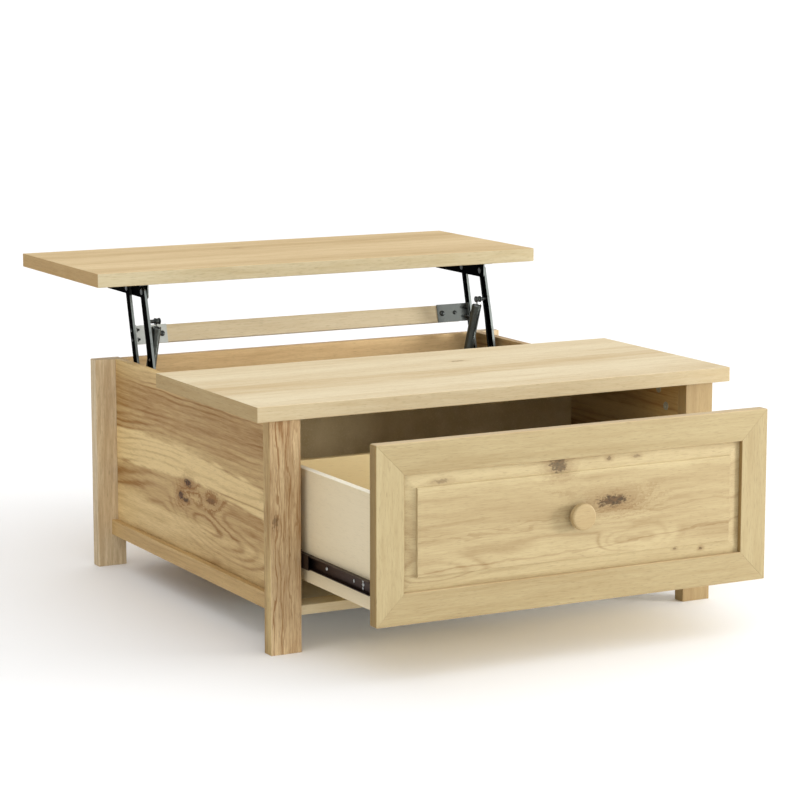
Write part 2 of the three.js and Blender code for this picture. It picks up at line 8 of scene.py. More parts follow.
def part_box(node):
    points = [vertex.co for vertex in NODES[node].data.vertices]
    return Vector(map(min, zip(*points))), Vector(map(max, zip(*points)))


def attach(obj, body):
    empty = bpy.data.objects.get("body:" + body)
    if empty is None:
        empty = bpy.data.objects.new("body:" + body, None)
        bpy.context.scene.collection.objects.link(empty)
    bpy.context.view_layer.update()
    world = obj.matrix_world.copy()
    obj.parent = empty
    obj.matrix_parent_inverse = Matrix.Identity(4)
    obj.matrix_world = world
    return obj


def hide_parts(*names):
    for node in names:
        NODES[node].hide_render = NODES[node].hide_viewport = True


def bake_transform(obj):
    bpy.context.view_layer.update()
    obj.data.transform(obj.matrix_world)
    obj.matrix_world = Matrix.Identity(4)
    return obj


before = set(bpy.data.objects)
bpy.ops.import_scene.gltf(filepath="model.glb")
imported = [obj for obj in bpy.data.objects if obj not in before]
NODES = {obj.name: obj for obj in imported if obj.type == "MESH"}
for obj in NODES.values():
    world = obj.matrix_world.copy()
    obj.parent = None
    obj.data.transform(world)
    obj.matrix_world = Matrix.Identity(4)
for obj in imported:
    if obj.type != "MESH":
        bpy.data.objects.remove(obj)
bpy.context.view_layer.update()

SIDES = (("left", -1), ("right", 1))


# ---------------------------------------------------------------- node trees
class Tree:
    """A material's node tree, with one short call for each kind of node."""

    def __init__(self, tree):
        self.tree = tree

    def node(self, kind, **settings):
        node = self.tree.nodes.new("ShaderNode" + kind)
        for key, value in settings.items():
            setattr(node, key, value)
        return node

    def feed(self, socket, value):
        if isinstance(value, bpy.types.NodeSocket):
            self.tree.links.new(value, socket)
        elif isinstance(value, (int, float)) and hasattr(socket.default_value, "__len__"):
            socket.default_value = [value] * len(socket.default_value)
        else:
            socket.default_value = value

    def math(self, operation, *values, clamp=False):
        node = self.node("Math", operation=operation, use_clamp=clamp)
        for socket, value in zip(node.inputs, values):
            self.feed(socket, value)
        return node.outputs[0]

    def vector(self, operation, *values):
        node = self.node("VectorMath", operation=operation)
        for socket, value in zip(node.inputs, values):
            self.feed(socket, value)
        return node.outputs["Value" if operation in ("LENGTH", "DOT_PRODUCT") else "Vector"]

    def times(self, vector, scale):
        return self.vector("MULTIPLY", vector, scale)

    def noise(self, vector, scale=1.0, detail=2.0, rough=0.5):
        node = self.node("TexNoise", noise_dimensions="3D")
        self.feed(node.inputs["Vector"], vector)
        node.inputs["Scale"].default_value = scale
        node.inputs["Detail"].default_value = detail
        node.inputs["Roughness"].default_value = rough
        return node.outputs["Fac"]

    def span(self, value, low, high, to_low=0.0, to_high=1.0):
        """value from low..high onto to_low..to_high, easing in and out, held at the ends."""
        node = self.node("MapRange", interpolation_type="SMOOTHSTEP")
        self.feed(node.inputs[0], value)
        for socket, number in zip(node.inputs[1:5], (low, high, to_low, to_high)):
            self.feed(socket, number)
        return node.outputs[0]

    def mix(self, factor, a, b, blend="MIX"):
        node = self.node("Mix", data_type="RGBA", blend_type=blend)
        self.feed(node.inputs[0], factor)
        self.feed(node.inputs[6], a)
        self.feed(node.inputs[7], b)
        return node.outputs[2]

    def split(self, vector):
        node = self.node("SeparateXYZ")
        self.feed(node.inputs[0], vector)
        return node.outputs

    def join(self, *values):
        node = self.node("CombineXYZ")
        for socket, value in zip(node.inputs, values):
            self.feed(socket, value)
        return node.outputs[0]


def linear(red, green, blue):
    """A colour given as it looks, 0 to 255 a channel, as the shader wants it."""
    def one(value):
        value /= 255
        return value / 12.92 if value <= 0.04045 else ((value + 0.055) / 1.055) ** 2.4

    return (one(red), one(green), one(blue), 1.0)


def new_material(name):
    material = bpy.data.materials.new(name)
    material.use_nodes = True
    tree = Tree(material.node_tree)
    shader = material.node_tree.nodes["Principled BSDF"]
    return material, tree, shader


def bump(t, shader, height, strength, distance):
    node = t.node("Bump")
    node.inputs["Strength"].default_value = strength
    node.inputs["Distance"].default_value = distance
    t.feed(node.inputs["Height"], height)
    t.feed(shader.inputs["Normal"], node.outputs[0])


AXES = {"x": 0, "y": 1, "z": 2}


def board_coordinates(t, grain, face, seed, banded):
    """Board coordinates (along the grain, across the face, into the board) in metres. On the ends
    of a banded board the grain turns to run along the end."""
    coord = t.node("TexCoord")
    x = t.split(coord.outputs["Object"])
    normal = t.split(coord.outputs["Normal"])
    along, into = AXES[grain], AXES[face]
    across = 3 - along - into
    point = t.join(x[along], x[across], x[into])
    if banded:
        blend = t.node("Mix", data_type="VECTOR")
        t.feed(blend.inputs[0], t.span(t.math("ABSOLUTE", normal[along]), 0.6, 0.8))
        t.feed(blend.inputs[4], point)
        t.feed(blend.inputs[5], t.join(x[across], x[into], x[along]))
        point = blend.outputs[1]
    return point, t.vector("ADD", point, seed)


def oak(name, grain, face, seed, light, dark, contrast, rings, pith, flow, arcs, lines=1.0,
        sides=None, ends=None, knots=(), swells=(), bands=(), banded=True, rough=0.55, shine=0.25):
    """Flat-sawn oak, with its grain along one axis and its wide face across another.

    rings is their spacing about the pith line, flow how far they wander, arcs and lines how strong
    the rings and the fine grain show. knots are (along, across, half length, half width, depth of
    colour), and swells the same without the dark core: the grain flows round both. bands are
    (along, across there, slope, curve, half width, lightness): light or dark stripes that wander
    along the board. sides and ends are painted light and shade: tints that lighten or darken the
    board's narrow faces by the way they face. A banded board has edging on its ends, and rough and
    shine set its gloss."""
    material, t, shader = new_material(name)
    bare, point = board_coordinates(t, grain, face, seed, banded)
    u, v, w = t.split(bare)

    wander = t.math("SUBTRACT", t.noise(t.times(point, (2.0, 9.0, 9.0)), detail=2.0), 0.5)
    ripple = t.math("SUBTRACT", t.noise(t.times(point, (14.0, 60.0, 60.0)), detail=3.0), 0.5)
    edge = t.math("SUBTRACT", t.noise(t.times(bare, (70.0, 110.0, 110.0)), detail=4.0), 0.5)
    shift = t.node("TexNoise", noise_dimensions="3D")
    t.feed(shift.inputs["Vector"], t.times(t.vector("ADD", bare, seed), (38.0, 60.0, 60.0)))
    shift = t.split(t.vector("SUBTRACT", shift.outputs["Color"], (0.5, 0.5, 0.5)))

    # Rings about a pith line that runs along the board, pushed aside by the knots.
    sv, sw = t.math("SUBTRACT", v, pith[0]), t.math("SUBTRACT", w, pith[1])
    radius = t.vector("LENGTH", t.join(0.0, sv, sw))
    radius = t.math("ADD", radius, t.math("MULTIPLY", wander, flow))
    radius = t.math("ADD", radius, t.math("MULTIPLY", ripple, 0.004))
    core, glow = 0.0, 0.0
    for along, across, half_length, half_width, depth in (*knots, *((*s[:4], 0.0) for s in swells)):
        du = t.math("DIVIDE", t.math("SUBTRACT", u, along), half_length)
        dv = t.math("DIVIDE", t.math("SUBTRACT", v, across), half_width)
        if depth:
            du = t.math("ADD", du, t.math("MULTIPLY", shift[0], 1.6))
            dv = t.math("ADD", dv, t.math("MULTIPLY", shift[1], 1.6))
        away = t.vector("LENGTH", t.join(du, dv, 0.0))
        away = t.math("ADD", away, t.math("MULTIPLY", edge, 1.1 if depth else 0.25))
        lift = t.span(away, 0.0, 4.2, min(0.05, 2.6 * half_width), 0.0)
        radius = t.math("ADD", radius, lift)
        if depth:
            here = t.math("MULTIPLY", t.span(away, 0.55, 1.15, 1.0, 0.0), depth)
            core = t.math("MAXIMUM", core, here)
            halo = t.math("MULTIPLY", t.span(away, 0.9, 2.8, 0.55, 0.0), depth)
            glow = t.math("MAXIMUM", glow, halo)

    turns = t.math("DIVIDE", radius, rings)
    wave = t.math("MULTIPLY", t.math("SINE", t.math("MULTIPLY", turns, 2 * math.pi)), 0.5)
    wave = t.math("POWER", t.math("ADD", wave, 0.5, clamp=True), 2.2)
    which = t.noise(t.join(0.0, turns, 3.7), scale=0.9, detail=1.0)
    wave = t.math("MULTIPLY", wave, t.span(which, 0.3, 0.7, 0.25, 1.0))
    fade = t.noise(t.times(point, (3.0, 16.0, 16.0)), detail=2.0)
    wave = t.math("MULTIPLY", wave, t.span(fade, 0.35, 0.65, 0.2, 1.0))

    broad = t.noise(t.times(point, (0.9, 8.0, 8.0)), detail=2.0, rough=0.45)
    medium = t.noise(t.times(point, (4.0, 60.0, 60.0)), detail=4.0, rough=0.6)
    fine = t.noise(t.times(point, (22.0, 420.0, 420.0)), detail=3.0, rough=0.65)
    shade = t.math("MULTIPLY", t.span(broad, 0.28, 0.72), 0.5)
    shade = t.math("ADD", shade, t.math("MULTIPLY", wave, arcs))
    shade = t.math("ADD", shade, t.math("MULTIPLY", t.span(medium, 0.34, 0.74), 0.34 * lines))
    shade = t.math("ADD", shade, t.math("MULTIPLY", t.math("SUBTRACT", fine, 0.5), 0.9 * lines))
    for along, across, slope, curve, half, lightness in bands:
        past = t.math("SUBTRACT", u, along)
        line = t.math("MULTIPLY", past, t.math("ADD", t.math("MULTIPLY", past, curve), slope))
        line = t.math("ADD", t.math("ADD", line, across), t.math("MULTIPLY", wander, 0.06))
        line = t.math("ADD", line, t.math("MULTIPLY", ripple, 0.03))
        off = t.math("ABSOLUTE", t.math("SUBTRACT", v, line))
        stripe = t.span(off, half * 0.7, half * 1.2, 1.0, 0.0)
        shade = t.math("SUBTRACT", shade, t.math("MULTIPLY", stripe, lightness))
    shade = t.math("MULTIPLY", shade, contrast, clamp=True)

    colour = t.mix(shade, light, dark)
    pores = t.noise(t.times(point, (70.0, 1100.0, 1100.0)), detail=1.0)
    pores = t.math("MULTIPLY", t.span(pores, 0.58, 0.72), 0.34 * lines)
    colour = t.mix(pores, colour, [c * 0.60 for c in dark[:3]] + [1.0])
    if knots:
        brown = [dark[0] * 0.40, dark[1] * 0.33, dark[2] * 0.30, 1.0]
        black = [dark[0] * 0.09, dark[1] * 0.075, dark[2] * 0.07, 1.0]
        crack = t.noise(t.times(bare, (150.0, 230.0, 230.0)), detail=4.0, rough=0.7)
        rot = t.mix(t.span(crack, 0.40, 0.58), black, brown)
        colour = t.mix(glow, colour, [dark[0] * 0.80, dark[1] * 0.68, dark[2] * 0.56, 1.0])
        colour = t.mix(core, colour, rot)
    normal = t.split(t.node("TexCoord").outputs["Normal"])
    # Painted light and shade: faces that look across the grain take the sides tint, and faces at
    # its ends the ends tint, lighter or darker by the way they face.
    for axis, tint in ((3 - AXES[grain] - AXES[face], sides), (AXES[grain], ends)):
        if tint:
            painted_light_faces = t.span(t.math("ABSOLUTE", normal[axis]), 0.45, 0.75)
            colour = t.mix(painted_light_faces, colour, t.mix(1.0, colour, (*tint, 1.0), "MULTIPLY"))
    t.feed(shader.inputs["Base Color"], colour)

    gloss = t.math("ADD", t.math("MULTIPLY", medium, 0.14), rough - 0.07)
    t.feed(shader.inputs["Roughness"], gloss)
    shader.inputs["Specular IOR Level"].default_value = shine
    height = t.math("ADD", t.math("MULTIPLY", fine, 0.6), t.math("MULTIPLY", medium, 0.4))
    height = t.math("SUBTRACT", height, t.math("ADD", pores, core))
    bump(t, shader, height, 0.25, 0.0004)
    return material


def metal(name, colour, worn, rough, metallic, brushed=None, cut=None, rim=1.0):
    """Painted or plated steel: fine mottling, lighter worn spots and, if brushed, lines along
    that axis. cut is a painted highlight: a lighter colour on the narrow faces that don't look
    along X, for the light their edges catch. rim is how strongly the metal mirrors at a low angle."""
    material, t, shader = new_material(name)
    shader.inputs["Specular Tint"].default_value = (rim, rim, rim, 1.0)
    coord = t.node("TexCoord").outputs["Object"]
    grit = t.noise(t.times(coord, 900.0), detail=3.0, rough=0.65)
    patch = t.noise(t.times(coord, 60.0), detail=4.0, rough=0.6)
    wear = t.math("MULTIPLY", t.span(patch, 0.50, 0.78), t.span(grit, 0.42, 0.62))
    shader.inputs["Metallic"].default_value = metallic
    paint = t.mix(wear, colour, worn)
    # Painted highlight: the narrow faces that don't look along X take the lighter cut colour.
    if cut:
        facing_x = t.math("ABSOLUTE", t.split(t.node("TexCoord").outputs["Normal"])[0])
        paint = t.mix(t.span(facing_x, 0.45, 0.75), t.mix(wear, cut, worn), paint)
    t.feed(shader.inputs["Base Color"], paint)
    roughness = t.math("ADD", t.math("MULTIPLY", patch, 0.25), rough - 0.12)
    height = grit
    if brushed:
        stretch = [1400.0] * 3
        stretch[AXES[brushed]] = 40.0
        lines = t.noise(t.times(coord, tuple(stretch)), detail=2.0)
        height = t.math("ADD", grit, lines)
        streak = t.math("MULTIPLY", t.math("SUBTRACT", lines, 0.5), 0.2)
        roughness = t.math("ADD", roughness, streak)
    t.feed(shader.inputs["Roughness"], roughness)
    bump(t, shader, height, 0.18, 0.0001)
    return material


def hardboard(name, colour, dark, speck):
    """Pressed board: cloudy tone with fine fibres and specks."""
    material, t, shader = new_material(name)
    coord = t.node("TexCoord").outputs["Object"]
    cloud = t.noise(t.times(coord, 9.0), detail=4.0, rough=0.6)
    fibre = t.noise(t.times(coord, (260.0, 420.0, 300.0)), detail=4.0, rough=0.7)
    tone = t.mix(t.span(cloud, 0.3, 0.7), colour, dark)
    tone = t.mix(t.math("MULTIPLY", t.span(fibre, 0.48, 0.75), 0.5), tone, speck)
    t.feed(shader.inputs["Base Color"], tone)
    t.feed(shader.inputs["Roughness"], t.math("ADD", t.math("MULTIPLY", fibre, 0.2), 0.68))
    bump(t, shader, fibre, 0.3, 0.0004)
    return material


# ---------------------------------------------------------------- materials
FRONT_EDGE = -0.398195  # row y of the front edge of the fixed top


def at(y):
    """Row y of a distance behind the fixed top's front edge, in metres."""
    return y + FRONT_EDGE


PALE = linear(220, 205, 172)
WARM = linear(192, 166, 122)
PANEL_PALE = linear(226, 199, 143)
PANEL_DARK = linear(150, 108, 56)
LEG_PALE = linear(217, 194, 152)
LEG_DARK = linear(146, 110, 70)
FRAME_PALE = linear(181, 165, 125)
FRAME_DARK = linear(150, 128, 88)

# The sides and ends tints below are painted light and shade on the boards' narrow faces.
LOOKS = {
    "fixed_top": oak(
        "oak_fixed_top", "x", "z", (3.1, 0.4, 1.7), PALE, WARM, 0.8, 0.016, (0.35, 0.2), 0.10, 0.2,
        sides=(0.78, 0.77, 0.74), ends=(0.70, 0.62, 0.49), rough=0.72, shine=0.12,
        knots=((0.071, at(0.287), 0.014, 0.005, 0.5),),
        bands=(
            (-0.3, at(0.09), 0.04, 0.0, 0.045, 0.30),
            (0.0, at(0.20), 0.02, 0.05, 0.020, -0.30),
            (0.1, at(0.33), -0.02, 0.0, 0.030, 0.22),
        ),
    ),
    "lift_top": oak(
        "oak_lift_top", "x", "z", (9.3, 2.2, 0.3), linear(213, 189, 146), linear(183, 154, 106),
        0.85, 0.016, (0.6, 0.3), 0.10, 0.25,
        sides=(0.83, 0.95, 1.12), ends=(0.80, 0.72, 0.62), rough=0.72, shine=0.12,
        knots=((-0.057, at(0.95), 0.012, 0.005, 0.45),),
        bands=(
            (0.0, at(0.80), 0.05, 0.0, 0.05, 0.20),
            (-0.1, at(0.95), 0.03, 0.1, 0.018, -0.35),
        ),
    ),
    "drawer_field": oak(
        "oak_drawer_field", "x", "y", (1.4, 5.2, 8.8), linear(190, 173, 132),
        linear(134, 106, 66), 0.70, 0.008, (0.02, 0.06), 0.035, 0.5, lines=0.8,
        sides=(1.25, 1.3, 1.35),
        knots=(
            (0.066, 0.257, 0.030, 0.0100, 0.85),
            (0.045, 0.251, 0.008, 0.0035, 0.8),
            (-0.034, 0.324, 0.016, 0.013, 0.7),
            (0.061, 0.326, 0.005, 0.003, 0.5),
            (0.113, 0.325, 0.007, 0.003, 0.4),
            (0.242, 0.159, 0.004, 0.003, 0.7),
            (0.190, 0.163, 0.004, 0.002, 0.5),
            (-0.250, 0.317, 0.014, 0.004, 0.4),
        ),
        swells=(
            (-0.262, 0.172, 0.03, 0.007),
            (0.070, 0.190, 0.012, 0.006),
            (0.130, 0.190, 0.02, 0.008),
        ),
        bands=(
            (-0.22, 0.180, 0.06, 0.0, 0.0022, -0.36),
            (-0.16, 0.232, 0.03, 0.0, 0.0013, -0.26),
            (-0.20, 0.238, 0.02, 0.0, 0.0011, -0.22),
            (-0.05, 0.312, -0.01, 0.0, 0.0120, 0.22),
        ),
    ),
    "drawer_across": oak(
        "oak_drawer_across", "x", "y", (4.4, 1.2, 2.8), FRAME_PALE, FRAME_DARK, 0.85, 0.016,
        (0.6, 0.3), 0.04, 0.2, lines=1.0, sides=(1.25, 1.2, 1.25),
    ),
    "drawer_upright": oak(
        "oak_drawer_upright", "z", "y", (7.4, 3.2, 4.8), FRAME_PALE, FRAME_DARK, 0.85, 0.016,
        (0.6, 0.3), 0.04, 0.2, lines=1.0, sides=(0.66, 0.55, 0.39), ends=(1.25, 1.2, 1.25),
    ),
    "knob": oak(
        "oak_knob", "x", "y", (2.4, 8.2, 1.8), linear(178, 157, 116), linear(162, 136, 94),
        0.8, 0.012, (0.3, 0.2), 0.02, 0.2, banded=False,
    ),
    # A paler copy of the leg oak for the rear legs: partly their own paler tone, partly painted
    # light where the table shades them.
    "rear_leg_tone_painted_light": oak(
        "oak_rear_leg_tone_painted_light", "z", "y", (1.5, 6.7, 2.1), linear(228, 211, 176), linear(190, 166, 130),
        1.15, 0.009, (-0.30, 0.10), 0.06, 0.7, lines=1.5, banded=False,
    ),
    # A darker copy of the leg oak for the right front leg: the darkness is painted shade.
    "front_right_leg_painted_shade": oak(
        "oak_front_right_leg_painted_shade", "z", "y", (8.5, 2.7, 3.1), linear(182, 159, 114), linear(144, 118, 80),
        0.8, 0.011, (0.20, -0.55), 0.03, 0.4, banded=False,
    ),
    "leg": oak(
        "oak_leg", "z", "y", (5.5, 0.7, 6.1), LEG_PALE, LEG_DARK, 0.95, 0.012, (-0.43, -0.47), 0.10,
        0.75, lines=1.5, sides=(1.0, 0.99, 0.80), knots=((0.221, -0.421, 0.012, 0.006, 0.5),),
        bands=(
            (0.33, -0.4235, 0.030, 0.0, 0.0017, -0.48),
            (0.20, -0.4080, 0.012, 0.0, 0.0012, -0.26),
            (0.20, -0.3950, -0.010, 0.0, 0.0016, -0.28),
            (0.20, -0.3840, 0.008, 0.0, 0.0011, -0.22),
            (0.06, -0.4160, -0.020, 0.0, 0.0016, -0.32),
        ),
        banded=False,
    ),
    "side_panel": oak(
        "oak_side_panel", "y", "x", (2.5, 7.7, 3.1), PANEL_PALE, PANEL_DARK, 0.98, 0.009,
        (0.10, -0.25), 0.06, 0.6, lines=0.8,
        knots=(
            (at(0.432), 0.212, 0.016, 0.007, 1.0),
            (at(0.464), 0.185, 0.011, 0.008, 1.0),
            (at(0.442), 0.180, 0.013, 0.004, 0.9),
            (at(0.334), 0.197, 0.020, 0.006, 0.45),
        ),
        swells=((at(0.278), 0.139, 0.05, 0.010), (at(0.40), 0.160, 0.04, 0.010)),
        bands=(
            (at(0.423), 0.250, 0.0216, -0.269, 0.027, 0.58),
            (at(0.30), 0.112, 0.03, 0.0, 0.032, 0.26),
            (at(0.42), 0.345, 0.0, 0.0, 0.045, -0.26),
        ),
    ),
    "side_panel_right": oak(
        "oak_side_panel_right", "y", "x", (4.1, 2.9, 6.3), linear(198, 172, 122),
        linear(136, 97, 52), 0.95, 0.010, (0.14, 0.25), 0.06, 0.55, lines=0.8,
        knots=((at(0.28), 0.235, 0.014, 0.007, 0.9), (at(0.255), 0.222, 0.008, 0.004, 0.7)),
        swells=((at(0.52), 0.150, 0.05, 0.012),),
        bands=((at(0.40), 0.300, 0.03, 0.15, 0.03, 0.3),),
    ),
    "side_rail": oak(
        "oak_side_rail", "y", "x", (6.5, 2.7, 9.1), linear(216, 186, 130), linear(178, 144, 94),
        1.0, 0.010, (0.30, -0.25), 0.05, 0.3,
    ),
    "inner_oak": oak(
        "oak_inner", "x", "y", (8.5, 1.7, 2.1), linear(222, 192, 142), linear(184, 150, 102), 1.0,
        0.010, (0.30, 0.25), 0.05, 0.3,
    ),
    "inner_floor": oak(
        "oak_floor", "x", "z", (1.5, 9.7, 5.1), linear(196, 168, 122), linear(152, 120, 78), 0.9,
        0.012, (0.30, 0.25), 0.05, 0.3,
    ),
    "bar": oak(
        "oak_bar", "x", "y", (3.5, 4.7, 0.1), linear(208, 194, 162), linear(182, 162, 122), 0.8,
        0.014, (0.6, 0.35), 0.03, 0.2,
    ),
    "box_upright": oak(
        "drawer_side_board", "y", "x", (5.5, 3.7, 7.1), linear(226, 211, 178),
        linear(212, 193, 156), 0.6, 0.020, (0.6, 0.35), 0.04, 0.1, lines=0.5,
        sides=(1.3, 1.45, 1.8), rough=0.42,
    ),
    "box_back": oak(
        "drawer_back_board", "x", "y", (2.2, 6.7, 4.1), linear(255, 240, 194),
        linear(246, 224, 172), 0.6, 0.020, (0.6, 0.35), 0.04, 0.1, lines=0.5, rough=0.42,
    ),
    "box_floor": oak(
        "drawer_floor_board", "x", "z", (7.2, 3.3, 2.1), linear(252, 232, 184),
        linear(238, 212, 158), 0.6, 0.020, (0.6, 0.35), 0.04, 0.1, lines=0.5, rough=0.42,
    ),
    "grey_board": hardboard(
        "grey_hardboard", linear(230, 227, 216), linear(210, 206, 192), linear(240, 238, 230)
    ),
    "divider_board": hardboard(
        "divider_hardboard", linear(216, 196, 152), linear(190, 168, 122), linear(230, 212, 172)
    ),
    # Its cut colour is a painted highlight on the narrow faces of the arms and brackets.
    "black_steel": metal(
        "black_steel", linear(9, 10, 9), linear(30, 32, 31), 0.34, 0.97, cut=linear(122, 127, 124),
        rim=0.1,
    ),
    "pin_steel": metal("pin_steel", linear(62, 65, 64), linear(104, 107, 105), 0.30, 0.85),
    "plate_zinc": metal(
        "zinc_plate", linear(176, 180, 175), linear(204, 206, 202), 0.58, 0.35, brushed="x"
    ),
    "plate_dark": metal(
        "dark_plate", linear(96, 101, 98), linear(132, 135, 132), 0.52, 0.5, brushed="x"
    ),
    "runner_steel": metal("runner_steel", linear(62, 47, 42), linear(92, 76, 68), 0.42, 0.9),
    "cage_steel": metal("cage_steel", linear(58, 46, 42), linear(88, 76, 70), 0.42, 0.9),
    "spring_steel": metal("spring_steel", linear(96, 101, 97), linear(142, 146, 143), 0.30, 0.95),
    "zinc": metal("zinc_screw", linear(200, 203, 202), linear(228, 230, 229), 0.32, 1.0),
}

WEARS = {
    "fixed_top": "fixed_top",
    "lift_top": "lift_top",
    "drawer_raised_panel": "drawer_field",
    "drawer_rail_top": "drawer_across",
    "drawer_rail_bottom": "drawer_across",
    "drawer_stile_left": "drawer_upright",
    "drawer_stile_right": "drawer_upright",
    "knob": "knob",
    "knob_screw": "zinc",
    "drawer_back": "box_back",
    "drawer_bottom": "box_floor",
    "back_panel": "inner_oak",
    "storage_floor": "inner_floor",
    "divider_panel": "divider_board",
    "dust_panel": "grey_board",
    "front_stretcher": "bar",
    "stabiliser_bar": "bar",
    "bar_plate_left": "plate_zinc",
    "bar_plate_right": "plate_dark",
}
for name, _ in SIDES:
    for node, look in (
        ("leg_front", "leg"),
        ("leg_rear", "leg"),
        ("side_panel", "side_panel"),
        ("side_rail", "side_rail"),
        ("drawer_side", "box_upright"),
        ("slide_case_rail", "runner_steel"),
        ("slide_drawer_rail", "runner_steel"),
        ("slide_ball_cage", "cage_steel"),
        ("spring_spool", "pin_steel"),
        ("rivet_front_low", "pin_steel"),
        ("rivet_front_top", "pin_steel"),
        ("rivet_rear_low", "pin_steel"),
        ("rivet_rear_top", "pin_steel"),
        ("spring_coil", "spring_steel"),
        ("spring_hook", "spring_steel"),
    ):
        WEARS[f"{node}_{name}"] = look
# The right front leg takes the darker copy of the leg oak: painted shade.
WEARS["leg_front_right"] = "front_right_leg_painted_shade"
WEARS["side_panel_right"] = WEARS["side_rail_right"] = "side_panel_right"
# The rear legs take the paler copy: partly their own tone, partly painted light.
WEARS["leg_rear_left"] = WEARS["leg_rear_right"] = "rear_leg_tone_painted_light"
for name, node in NODES.items():
    node.data.materials.clear()
    node.data.materials.append(LOOKS[WEARS.get(name, "black_steel")])


# ---------------------------------------------------------------- small pieces
def build(name, verts, faces, look, body, matrix=None, smooth=30.0):
    """A piece from its mesh, set in place by a matrix, that rides a body if one is given."""
    mesh = bpy.data.meshes.new(name)
    mesh.from_pydata([tuple(v) for v in verts], [], faces)
    mesh.materials.append(LOOKS[look])
    if matrix:
        mesh.transform(matrix)
    mesh.set_sharp_from_angle(angle=math.radians(smooth))
    obj = bpy.data.objects.new(name, mesh)
    bpy.context.scene.collection.objects.link(obj)
    if body:
        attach(obj, body)
    return obj


def facing(where, axis):
    """The matrix that puts local +Z along axis, at a point."""
    turn = Vector(axis).to_track_quat("Z", "Y").to_matrix().to_4x4()
    return Matrix.Translation(Vector(where)) @ turn


def spun(profile, sides=24):
    """A closed body turned about local +Z from (radius, height) pairs, bottom to top."""
    verts = [(0, 0, profile[0][1])]
    for radius, height in profile:
        for i in range(sides):
            angle = 2 * math.pi * i / sides
            verts.append((radius * math.cos(angle), radius * math.sin(angle), height))
    verts.append((0, 0, profile[-1][1]))
    faces = [(0, 1 + (i + 1) % sides, 1 + i) for i in range(sides)]
    for row in range(len(profile) - 1):
        low, high = 1 + row * sides, 1 + (row + 1) * sides
        for i in range(sides):
            j = (i + 1) % sides
            faces.append((low + i, low + j, high + j, high + i))
    high = 1 + (len(profile) - 1) * sides
    faces += [(high + i, high + (i + 1) % sides, len(verts) - 1) for i in range(sides)]
    return verts, faces


def wire(path, radius, sides=8):
    """A round wire along a path, with flat ends."""
    path = [Vector(p) for p in path]
    verts, up = [], Vector((1, 0.3, 0.1))
    for i, point in enumerate(path):
        ahead = (path[min(i + 1, len(path) - 1)] - path[max(i - 1, 0)]).normalized()
        up = (up - ahead * up.dot(ahead)).normalized()
        side = ahead.cross(up)
        for k in range(sides):
            angle = 2 * math.pi * k / sides
            verts.append(point + radius * (math.cos(angle) * up + math.sin(angle) * side))
    faces = []
    for i in range(len(path) - 1):
        for k in range(sides):
            a, b = i * sides + k, i * sides + (k + 1) % sides
            faces.append((a, b, b + sides, a + sides))
    faces.append(tuple(reversed(range(sides))))
    faces.append(tuple(range(len(verts) - sides, len(verts))))
    return verts, faces


def pan_head(radius, height):
    """A domed screw head with a cross recess, standing on local z = 0."""
    rim, steps = 0.2, 6
    dome = [(radius * 0.92, 0), (radius, height * rim)]
    for i in range(1, steps):
        angle = math.pi / 2 * i / steps
        rise = rim + (1 - rim) * math.sin(angle)
        dome.append((radius * math.cos(angle), height * rise))

    # The recess: a cross that narrows downwards.
    arm, half = radius * 0.55, radius * 0.13
    corners = [(half, half), (arm, half), (arm, -half)]
    outline = []
    for turn in range(4):
        c, s = round(math.cos(-turn * math.pi / 2)), round(math.sin(-turn * math.pi / 2))
        outline += [(x * c - y * s, x * s + y * c) for x, y in corners]
    count = len(outline)
    verts = [(x * 0.5, y * 0.5, height * 0.35) for x, y in outline]
    verts += [(x, y, height * 1.4) for x, y in outline]
    faces = [tuple(range(count)), tuple(reversed(range(count, 2 * count)))]
    for i in range(count):
        j = (i + 1) % count
        faces.append((j, i, i + count, j + count))

    made = []
    for name, (points, sides) in (("head", spun(dome)), ("cutter", (verts, faces))):
        mesh = bpy.data.meshes.new(name)
        mesh.from_pydata(points, [], sides)
        made.append(bpy.data.objects.new(name, mesh))
        bpy.context.scene.collection.objects.link(made[-1])
    head, cutter = made
    cut = head.modifiers.new("recess", "BOOLEAN")
    cut.operation, cut.solver, cut.object = "DIFFERENCE", "EXACT", cutter
    result = head.evaluated_get(bpy.context.evaluated_depsgraph_get()).to_mesh()
    verts = [v.co.copy() for v in result.vertices]
    faces = [tuple(p.vertices) for p in result.polygons]
    for obj in made:
        bpy.data.objects.remove(obj)
    return verts, faces


def table(y, z):
    """A point at x = 0, by mm behind the fixed top's front edge and mm above the floor."""
    return Vector((0, at(y / 1000), z / 1000))


def middle(node):
    low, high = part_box(node)
    return (low + high) / 2


def outside(node):
    """How far a node's outer face is from the middle of the table."""
    low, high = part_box(node)
    return max(abs(low.x), abs(high.x))


def put(name, shape, look, body, where, axis):
    """A small piece of a given shape, standing on a point along an axis."""
    build(name, *shape, look, body, facing(where, axis))


WIDE_SCREW = pan_head(0.0054, 0.0026)
SCREW = pan_head(0.0040, 0.0020)
SMALL_SCREW = pan_head(0.0034, 0.0016)

THREAD_PITCH = 0.0008
BOLT_TIP = [(0.0019, 0), (0.0022, 0.0004)]
for thread in range(5):
    rise = thread * THREAD_PITCH
    BOLT_TIP += [(0.0023, 0.0007 + rise), (0.0019, 0.0011 + rise)]
BOLT_TIP.append((0.0015, 0.0047))
BOLT_TIP = spun(BOLT_TIP, 16)

